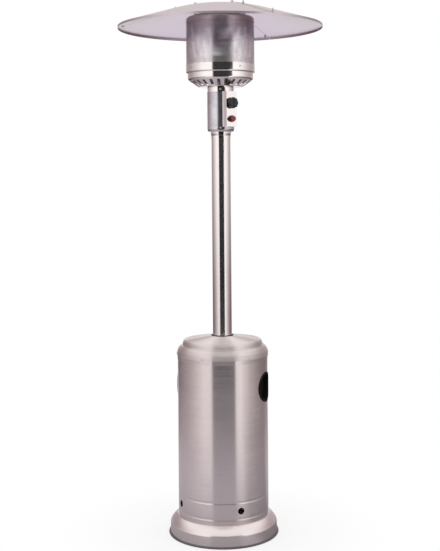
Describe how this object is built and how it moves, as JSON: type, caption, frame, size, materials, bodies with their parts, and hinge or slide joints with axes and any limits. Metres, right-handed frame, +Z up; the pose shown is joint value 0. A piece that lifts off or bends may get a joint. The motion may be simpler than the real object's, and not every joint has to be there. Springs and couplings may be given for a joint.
{
  "type": "gas patio heater",
  "caption": "Free-standing gas patio heater with a lift-up bottle housing, post, valve housing with knob and igniter button, perforated emitter and domed reflector.",
  "frame": {"origin": "on the floor, under the middle of the post", "axes": "+Z up along the post, -Y out of the control panel's front"},
  "size_m": [0.86, 0.8598, 2.2326],
  "materials": {
    "brushed_steel": "fine brushed stainless steel",
    "polished_steel": "bright polished stainless steel",
    "reflector_aluminium": "satin spun aluminium",
    "emitter_mesh": "perforated heat-resisting steel",
    "dark_painted_steel": "satin black powder coat",
    "zinc_plated_steel": "bright zinc plating",
    "cast_burner": "heat-darkened pressed burner",
    "black_plastic": "satin moulded plastic",
    "white_plastic": "blow-moulded tank, filled for ballast",
    "red_plastic": "gloss moulded plastic",
    "black_rubber": "matt rubber",
    "valve_aluminium": "die-cast, as cast",
    "brass": "turned brass",
    "ceramic": "glazed ceramic sleeve"
  },
  "bodies": {
    "heater": {"foot_ring": "black_rubber", "base_plate": "zinc_plated_steel", "base_cover": "brushed_steel", "ballast_tank": "white_plastic", "ballast_filler_cap": "black_plastic", "post_leg_1": "dark_painted_steel", "post_leg_2": "dark_painted_steel", "post_leg_3": "dark_painted_steel", "leg_bolts": "zinc_plated_steel", "post_mount_plate": "dark_painted_steel", "main_post": "brushed_steel", "flange_bolts": "zinc_plated_steel", "flange_nuts": "zinc_plated_steel", "post_collar": "polished_steel", "hose_nut": "brass", "gas_hose": "black_rubber", "regulator_body": "valve_aluminium", "bottle_coupling_nut": "brass", "valve_housing": "polished_steel", "post_adapter": "zinc_plated_steel", "burner_neck": "polished_steel", "neck_screws": "zinc_plated_steel", "housing_screws": "zinc_plated_steel", "valve_shelf": "zinc_plated_steel", "control_panel": "polished_steel", "gas_valve": "valve_aluminium", "igniter_body": "black_plastic", "igniter_nut": "black_plastic", "tilt_switch": "black_plastic", "main_jet": "brass", "burner_bowl": "polished_steel", "burner_band": "polished_steel", "band_screws": "zinc_plated_steel", "emitter_screen": "emitter_mesh", "emitter_cap": "polished_steel", "burner_floor": "zinc_plated_steel", "mixing_tube": "zinc_plated_steel", "burner_head": "cast_burner", "pilot_bracket": "zinc_plated_steel", "thermocouple": "brass", "ignition_electrode": "ceramic", "pilot_burner": "valve_aluminium", "reflector_panel_1": "reflector_aluminium", "reflector_panel_2": "reflector_aluminium", "reflector_panel_3": "reflector_aluminium", "reflector_spacers": "zinc_plated_steel", "reflector_studs": "zinc_plated_steel", "reflector_cap_nuts": "zinc_plated_steel", "seam_bolts": "zinc_plated_steel", "seam_nuts": "zinc_plated_steel"},
    "tank_housing": {"housing_shell": "brushed_steel", "housing_lid": "brushed_steel", "lid_screws": "zinc_plated_steel", "lid_grommet": "black_rubber", "grip_cup_right": "black_plastic", "grip_cup_left": "black_plastic"},
    "push_collar": {"push_collar": "zinc_plated_steel"},
    "knob": {"valve_stem": "zinc_plated_steel", "control_knob": "black_plastic"},
    "button": {"igniter_button": "red_plastic"}
  },
  "joints": [
    {"name": "housing_lift", "type": "slide", "parent": "heater", "child": "tank_housing", "axis": [0, 0, 1], "range_m": [0, 0.83]},
    {"name": "knob_push", "type": "slide", "parent": "heater", "child": "push_collar", "axis": [0, 1, 0], "range_m": [0, 0.0032], "stiffness_N_per_m": 1000, "springref_m": -0.003},
    {"name": "knob_turn", "type": "hinge", "parent": "push_collar", "child": "knob", "pos_m": [0, -0.08, 1.812], "axis": [0, -1, 0], "range_deg": [0, 270]},
    {"name": "igniter_push", "type": "slide", "parent": "heater", "child": "button", "axis": [0, 1, 0], "range_m": [0, 0.006], "stiffness_N_per_m": 600, "springref_m": -0.002}
  ]
}
